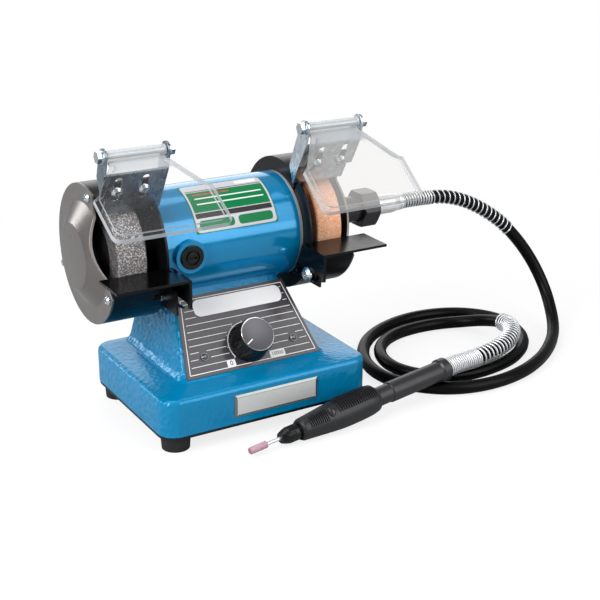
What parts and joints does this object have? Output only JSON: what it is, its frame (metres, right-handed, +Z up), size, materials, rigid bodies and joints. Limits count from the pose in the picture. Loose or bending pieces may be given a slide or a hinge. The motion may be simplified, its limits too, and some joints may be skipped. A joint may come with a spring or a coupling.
{
  "type": "bench grinder",
  "caption": "Small bench grinder: two guarded wheels on a motor over a pedestal base with a speed dial, clear eye shields, tool rests and a flexible shaft with handpiece.",
  "frame": {"origin": "on the surface it stands on, under the middle of the base", "axes": "+X right along the spindle, +Y to the back, +Z up"},
  "size_m": [0.4078, 0.1612, 0.1967],
  "materials": {
    "blue_paint": "gloss, hammered",
    "black_paint": "satin",
    "grey_paint": "satin",
    "rubber": "matte",
    "hose_rubber": "matte",
    "zinc": "bright zinc",
    "zinc_sheet": "blue zinc plate",
    "bare_casting": "satin",
    "lamination": "satin",
    "copper": "satin",
    "bearing_steel": "polished",
    "brass": "satin",
    "carbon": "matte",
    "black_plastic": "satin",
    "panel_grey": "satin",
    "lamp_lens": "gloss",
    "pot_metal": "satin",
    "board": "satin",
    "plate_silver": "brushed",
    "label_print": "satin film",
    "dark_steel": "black satin",
    "black_oxide": "satin",
    "nickel": "bright",
    "handpiece_black": "satin",
    "grip_black": "satin",
    "white_plastic": "satin",
    "grey_grit": "coarse grit",
    "orange_grit": "fine grit",
    "clear_plastic": "clear",
    "pink_stone": "fine grit"
  },
  "bodies": {
    "root": {"base_casting": "blue_paint", "bottom_plate": "black_paint", "rubber_feet": "rubber", "foot_screws": "zinc", "motor_barrel": "blue_paint", "left_end_bracket": "bare_casting", "right_end_bracket": "bare_casting", "end_bracket_bolts": "zinc", "stator_core": "lamination", "field_coils": "copper", "motor_bearings": "bearing_steel", "brush_holders": "brass", "carbon_brushes": "carbon", "brush_springs": "bearing_steel", "brush_caps": "black_plastic", "control_panel": "panel_grey", "indicator_lamps": "lamp_lens", "speed_control": "pot_metal", "control_board": "board", "saddle_screws": "zinc", "name_plate": "plate_silver", "motor_label": "label_print", "cable_grommet": "rubber", "left_guard": "black_paint", "right_guard": "black_paint", "left_guard_cover": "grey_paint", "right_guard_cover": "grey_paint", "cover_screws": "zinc", "rest_screws": "zinc", "bracket_screws": "zinc", "coupling_neck": "dark_steel", "coupling_nut": "black_oxide", "hose_ferrule": "nickel", "motor_end_coil": "nickel", "flexible_hose": "hose_rubber", "tool_end_coil": "nickel", "handpiece_sleeve": "handpiece_black", "handpiece_grip": "grip_black", "handpiece_bearings": "bearing_steel"},
    "rotor": {"motor_shaft": "bearing_steel", "armature_core": "lamination", "armature_windings": "copper", "commutator": "copper", "cooling_fan": "white_plastic", "wheel_flanges": "dark_steel", "arbor_nuts": "zinc", "grey_wheel": "grey_grit", "orange_wheel": "orange_grit"},
    "tool_spindle": {"collet_spindle": "bearing_steel", "collet_nut": "black_oxide", "grinding_point": "pink_stone"},
    "knob": {"speed_knob": "black_plastic"},
    "left_shield_slide": {"left_bracket": "zinc_sheet", "left_hinge_bolt": "zinc"},
    "right_shield_slide": {"right_bracket": "zinc_sheet", "right_hinge_bolt": "zinc"},
    "left_shield_flap": {"left_shield": "clear_plastic"},
    "right_shield_flap": {"right_shield": "clear_plastic"},
    "left_rest_slide": {"left_rest": "black_paint"},
    "right_rest_slide": {"right_rest": "black_paint"}
  },
  "joints": [
    {"name": "rotor_spin", "type": "hinge", "parent": "root", "child": "rotor", "pos_m": [0, 0.027, 0.115], "axis": [1, 0, 0], "continuous": true},
    {"name": "tool_spin", "type": "hinge", "parent": "root", "child": "tool_spindle", "pos_m": [0.138, -0.0664, 0.0185], "axis": [-0.9913, -0.1036, -0.0814], "continuous": true},
    {"name": "speed_turn", "type": "hinge", "parent": "root", "child": "knob", "pos_m": [0, -0.02662, 0.05282], "axis": [0, 0.7771, -0.6293], "range_deg": [0, 270]},
    {"name": "left_shield_raise", "type": "slide", "parent": "root", "child": "left_shield_slide", "axis": [0, -0.5, 0.866], "range_m": [-0.004, 0.0055]},
    {"name": "right_shield_raise", "type": "slide", "parent": "root", "child": "right_shield_slide", "axis": [0, -0.5, 0.866], "range_m": [-0.0065, 0.003]},
    {"name": "left_shield_tilt", "type": "hinge", "parent": "left_shield_slide", "child": "left_shield_flap", "pos_m": [0, -0.01429, 0.18931], "axis": [1, 0, 0], "range_deg": [-80, 22]},
    {"name": "right_shield_tilt", "type": "hinge", "parent": "right_shield_slide", "child": "right_shield_flap", "pos_m": [0, -0.01554, 0.19148], "axis": [1, 0, 0], "range_deg": [-85, 14]},
    {"name": "left_rest_move", "type": "slide", "parent": "root", "child": "left_rest_slide", "axis": [0, 1, 0], "range_m": [-0.004, 0.003]},
    {"name": "right_rest_move", "type": "slide", "parent": "root", "child": "right_rest_slide", "axis": [0, 1, 0], "range_m": [-0.012, 0.003]}
  ],
  "couplings": [
    {"joint": "tool_spin", "follows": "rotor_spin", "ratio": 1}
  ]
}
